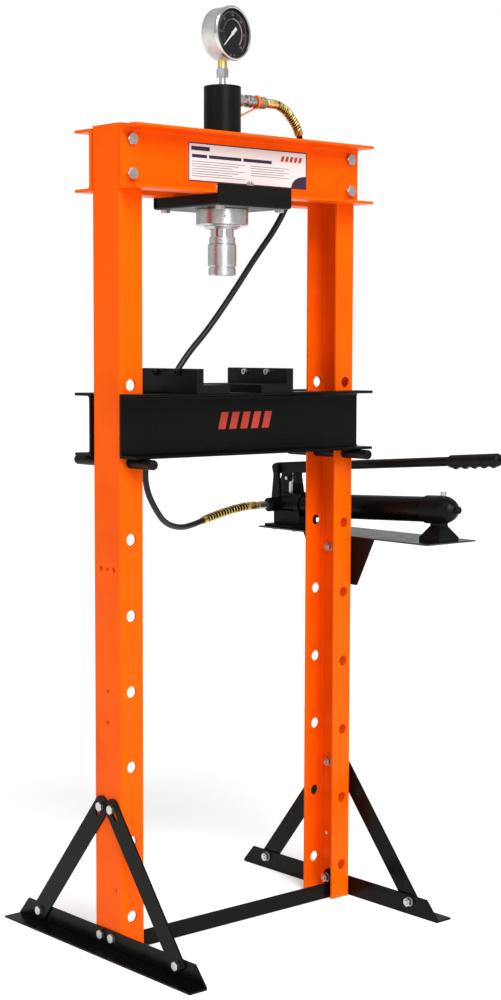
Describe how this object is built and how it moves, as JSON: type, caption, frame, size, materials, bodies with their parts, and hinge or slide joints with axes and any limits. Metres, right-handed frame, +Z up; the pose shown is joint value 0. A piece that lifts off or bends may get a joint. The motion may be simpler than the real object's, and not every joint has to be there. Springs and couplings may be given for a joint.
{
  "type": "hydraulic shop press",
  "caption": "Floor-standing H-frame hydraulic shop press with adjustable bed, hand pump, hose and pressure gauge.",
  "frame": {"origin": "centre of the base of the press (feet on the floor), measured without the hose", "axes": "+Z up, +X from the plain post to the post with the pump, +Y to the back"},
  "size_m": [0.812, 0.7058, 1.8755],
  "materials": {
    "orange_paint": "gloss",
    "black_paint": "semi-gloss",
    "bright_steel": "machined",
    "zinc": "plated",
    "chrome": "polished",
    "brass": "satin",
    "hose_rubber": "matt",
    "label_white": "gloss",
    "black_dial": "matt",
    "clear_glass": "polished",
    "pointer_white": "satin",
    "orange_plastic": "gloss",
    "grip_rubber": "satin"
  },
  "bodies": {
    "frame": {"left_post": "orange_paint", "right_post": "orange_paint", "head_channel_front": "orange_paint", "head_channel_rear": "orange_paint", "head_bolts": "zinc", "label_plate": "label_white", "left_foot": "black_paint", "right_foot": "black_paint", "left_strut_front": "black_paint", "left_strut_rear": "black_paint", "right_strut_front": "black_paint", "right_strut_rear": "black_paint", "frame_bolts": "zinc", "cross_bar": "black_paint", "carriage_tray": "black_paint", "carriage_spacers": "black_paint", "carriage_bolts": "zinc", "cylinder_tube": "black_paint", "ring_nut": "bright_steel", "cylinder_gland": "bright_steel", "return_spring": "bright_steel", "gauge_case": "bright_steel", "gauge_bezel": "bright_steel", "gauge_dial": "black_dial", "gauge_glass": "clear_glass", "gauge_stem": "brass", "gauge_coupling": "zinc", "ram_fitting": "zinc", "hose_coupler": "zinc", "dust_cap": "orange_plastic", "hose_ferrules": "brass", "hose": "hose_rubber", "upper_guard": "brass", "lower_guard": "brass", "pump_fitting": "zinc", "pump_shelf": "black_paint", "shelf_bolts": "zinc", "pump_body": "black_paint", "reservoir_tube": "black_paint", "reservoir_cap": "black_paint", "filler_screw": "zinc"},
    "ram": {"piston": "bright_steel", "piston_rod": "chrome", "press_head": "bright_steel"},
    "bed": {"bed_channel_front": "black_paint", "bed_channel_rear": "black_paint", "bed_spacers": "black_paint"},
    "left_pin": {"left_bed_pin": "black_paint"},
    "right_pin": {"right_bed_pin": "black_paint"},
    "left_block": {"left_press_block": "black_paint", "left_block_screws": "zinc"},
    "right_block": {"right_press_block": "black_paint", "right_block_screws": "zinc"},
    "lever": {"lever_head": "black_paint", "lever_pins": "zinc", "lever_tube": "black_paint", "lever_grip": "grip_rubber"},
    "pump_plunger": {"plunger": "bright_steel"},
    "release": {"release_knob": "black_paint"},
    "pointer": {"gauge_pointer": "pointer_white"}
  },
  "joints": [
    {"name": "ram_slide", "type": "slide", "parent": "frame", "child": "ram", "axis": [0, 0, -1], "range_m": [0, 0.15], "stiffness_N_per_m": 450, "springref_m": -0.25, "deforming": ["return_spring"]},
    {"name": "bed_slide", "type": "slide", "parent": "frame", "child": "bed", "axis": [0, 0, 1], "range_m": [0, 0.15]},
    {"name": "left_pin_slide", "type": "slide", "parent": "frame", "child": "left_pin", "axis": [0, -1, 0], "range_m": [0, 0.2]},
    {"name": "right_pin_slide", "type": "slide", "parent": "frame", "child": "right_pin", "axis": [0, -1, 0], "range_m": [0, 0.2]},
    {"name": "left_block_slide", "type": "slide", "parent": "bed", "child": "left_block", "axis": [-1, 0, 0], "range_m": [-0.035, 0.075]},
    {"name": "right_block_slide", "type": "slide", "parent": "bed", "child": "right_block", "axis": [1, 0, 0], "range_m": [-0.035, 0.16]},
    {"name": "lever_hinge", "type": "hinge", "parent": "frame", "child": "lever", "pos_m": [0.333, 0.31387, 0.92229], "axis": [-1, 0, 0], "range_deg": [0, 45]},
    {"name": "plunger_slide", "type": "slide", "parent": "frame", "child": "pump_plunger", "axis": [0, 0, 1], "range_m": [0, 0.032]},
    {"name": "release_turn", "type": "hinge", "parent": "frame", "child": "release", "pos_m": [0.333, 0.29387, 0.8365], "axis": [1, 0, 0], "range_deg": [0, 270]},
    {"name": "pointer_turn", "type": "hinge", "parent": "frame", "child": "pointer", "pos_m": [-0.06704, 0.01724, 1.8215], "axis": [-0.165, 0.9863, 0], "range_deg": [0, 270], "stiffness_Nm_per_rad": 0.002, "springref_deg": -22.92}
  ],
  "couplings": [
    {"joint": "plunger_slide", "follows": "lever_hinge", "m_per_rad": 0.04001}
  ]
}
